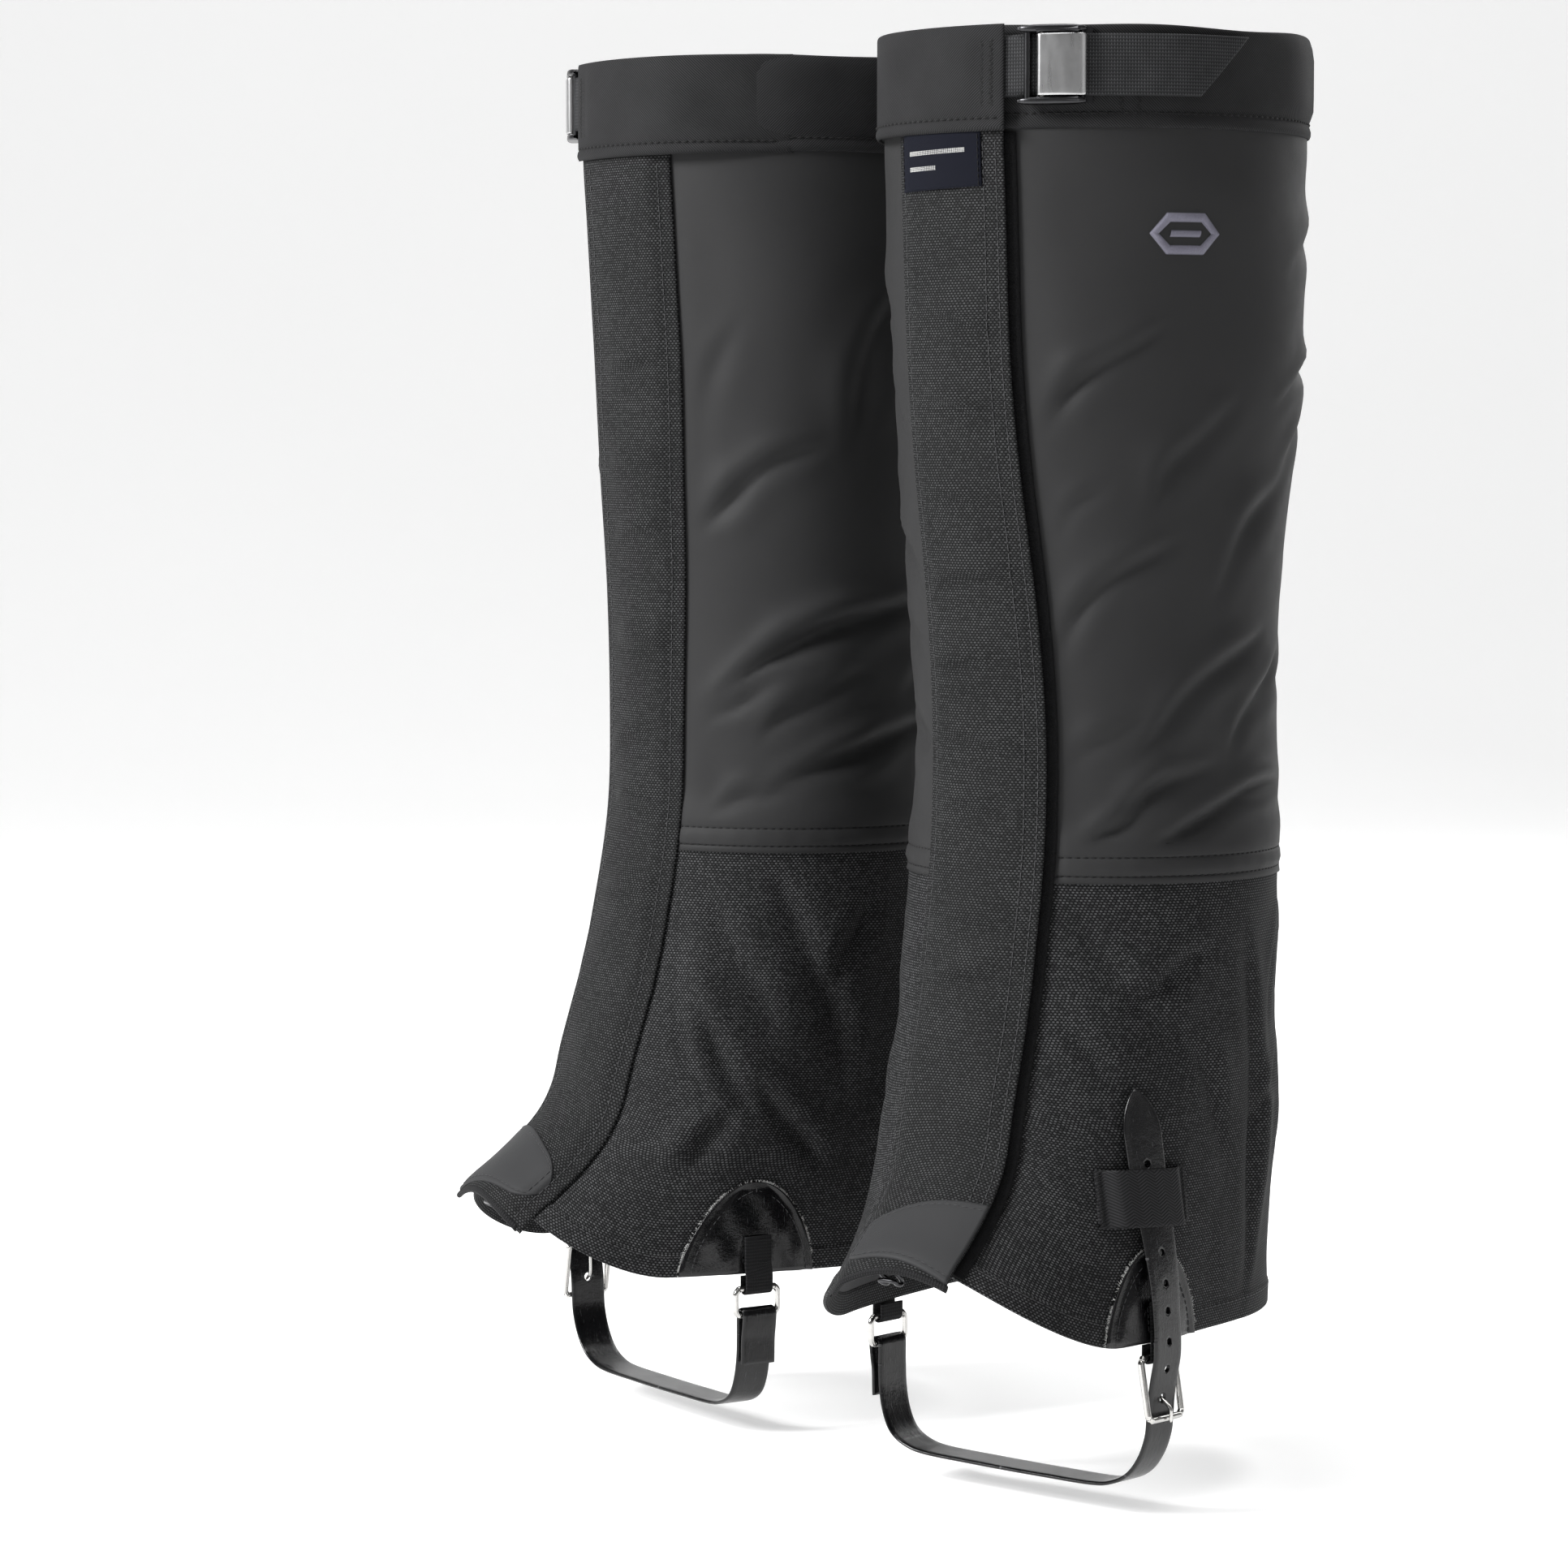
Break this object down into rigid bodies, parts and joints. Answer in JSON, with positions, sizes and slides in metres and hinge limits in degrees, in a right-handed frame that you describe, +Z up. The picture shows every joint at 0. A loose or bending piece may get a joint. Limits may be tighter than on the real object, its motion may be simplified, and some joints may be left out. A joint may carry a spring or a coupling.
{
  "type": "pair of hiking gaiters",
  "caption": "Mirrored pair of knee-high hiking gaiters in their worn shape, with front closure flap, cuff cinch buckle and buckled strap under the boot.",
  "frame": {"origin": "on the ground midway between the two boots, below the legs that wear the pair", "axes": "+Z up along the legs, -Y the way the wearer faces, +X to the left gaiter"},
  "size_m": [0.3354, 0.2066, 0.5102],
  "materials": {
    "smooth_nylon": "matt woven nylon",
    "coarse_nylon": "coarse woven nylon",
    "cuff_twill": "fine twill",
    "hook_tape": "hook and loop pile",
    "toe_patch_fabric": "smooth coated fabric",
    "coated_patch": "glossy coated fabric",
    "webbing_grey": "ribbed webbing",
    "webbing_black": "black webbing",
    "strap_black": "coated strap, satin",
    "steel_wire": "bright wire",
    "buckle_dark": "dark painted",
    "lever_grey": "satin grey",
    "label_weave": "woven label",
    "badge_thread": "embroidery thread"
  },
  "bodies": {
    "left_gaiter": {"left_upper_panel": "smooth_nylon", "left_lower_panel": "coarse_nylon", "left_cuff_band": "cuff_twill", "left_loop_strip": "hook_tape", "left_badge": "badge_thread", "left_cinch_base": "buckle_dark", "left_cinch_pin": "steel_wire", "left_outer_patch": "coated_patch", "left_inner_patch": "coated_patch", "left_outer_tab_anchor": "webbing_black", "left_inner_tab_anchor": "webbing_black", "left_strap_keeper": "webbing_black", "left_strap_tail": "strap_black"},
    "left_flap": {"left_front_flap": "coarse_nylon", "left_flap_cuff": "cuff_twill", "left_hook_strip": "hook_tape", "left_toe_patch": "toe_patch_fabric", "left_lace_hook": "steel_wire", "left_lace_hook_tab": "webbing_black", "left_label": "label_weave"},
    "left_cinch_strap": {"left_cinch_webbing": "webbing_grey"},
    "left_lever": {"left_cinch_lever": "lever_grey"},
    "left_instep_loop": {"left_instep_strap": "strap_black", "left_outer_tab_loop": "webbing_black", "left_inner_tab_loop": "webbing_black", "left_inner_ring": "steel_wire", "left_buckle_frame": "steel_wire"},
    "left_prong": {"left_buckle_prong": "steel_wire"},
    "right_gaiter": {"right_upper_panel": "smooth_nylon", "right_lower_panel": "coarse_nylon", "right_cuff_band": "cuff_twill", "right_loop_strip": "hook_tape", "right_badge": "badge_thread", "right_cinch_base": "buckle_dark", "right_cinch_pin": "steel_wire", "right_outer_patch": "coated_patch", "right_inner_patch": "coated_patch", "right_outer_tab_anchor": "webbing_black", "right_inner_tab_anchor": "webbing_black", "right_strap_keeper": "webbing_black", "right_strap_tail": "strap_black"},
    "right_flap": {"right_front_flap": "coarse_nylon", "right_flap_cuff": "cuff_twill", "right_hook_strip": "hook_tape", "right_toe_patch": "toe_patch_fabric", "right_lace_hook": "steel_wire", "right_lace_hook_tab": "webbing_black"},
    "right_cinch_strap": {"right_cinch_webbing": "webbing_grey"},
    "right_lever": {"right_cinch_lever": "lever_grey"},
    "right_instep_loop": {"right_instep_strap": "strap_black", "right_outer_tab_loop": "webbing_black", "right_inner_tab_loop": "webbing_black", "right_inner_ring": "steel_wire", "right_buckle_frame": "steel_wire"},
    "right_prong": {"right_buckle_prong": "steel_wire"}
  },
  "joints": [
    {"name": "left_flap_opening", "type": "hinge", "parent": "left_gaiter", "child": "left_flap", "pos_m": [0.06477, -0.07939, 0.28], "axis": [0, 0, -1], "range_deg": [0, 100]},
    {"name": "left_cinch_travel", "type": "hinge", "parent": "left_gaiter", "child": "left_cinch_strap", "pos_m": [0.0875, 0, 0.506], "axis": [0, 0, 1], "range_deg": [0, 12]},
    {"name": "left_cinch_lever_hinge", "type": "hinge", "parent": "left_gaiter", "child": "left_lever", "pos_m": [0.13208, -0.0683, 0.506], "axis": [0, 0, -1], "range_deg": [0, 80]},
    {"name": "left_instep_swing", "type": "hinge", "parent": "left_gaiter", "child": "left_instep_loop", "pos_m": [0.09937, -0.04651, 0.0626], "axis": [0.9914, 0.1308, 0], "range_deg": [-10, 10]},
    {"name": "left_prong_hinge", "type": "hinge", "parent": "left_instep_loop", "child": "left_prong", "pos_m": [0.16125, -0.03835, 0.058], "axis": [0.1308, -0.9914, 0], "range_deg": [-1, 2.5]},
    {"name": "right_flap_opening", "type": "hinge", "parent": "right_gaiter", "child": "right_flap", "pos_m": [-0.06477, -0.07939, 0.28], "axis": [0, 0, 1], "range_deg": [0, 100]},
    {"name": "right_cinch_travel", "type": "hinge", "parent": "right_gaiter", "child": "right_cinch_strap", "pos_m": [-0.0875, 0, 0.506], "axis": [0, 0, -1], "range_deg": [0, 12]},
    {"name": "right_cinch_lever_hinge", "type": "hinge", "parent": "right_gaiter", "child": "right_lever", "pos_m": [-0.13208, -0.0683, 0.506], "axis": [0, 0, 1], "range_deg": [0, 80]},
    {"name": "right_instep_swing", "type": "hinge", "parent": "right_gaiter", "child": "right_instep_loop", "pos_m": [-0.09937, -0.04651, 0.0626], "axis": [0.9914, -0.1308, 0], "range_deg": [-10, 10]},
    {"name": "right_prong_hinge", "type": "hinge", "parent": "right_instep_loop", "child": "right_prong", "pos_m": [-0.16125, -0.03835, 0.058], "axis": [0.1308, 0.9914, 0], "range_deg": [-1, 2.5]},
    {"name": "right_gaiter_apart", "type": "slide", "parent": "left_gaiter", "child": "right_gaiter", "axis": [-1, 0, 0], "range_m": [0, 0.15]}
  ]
}
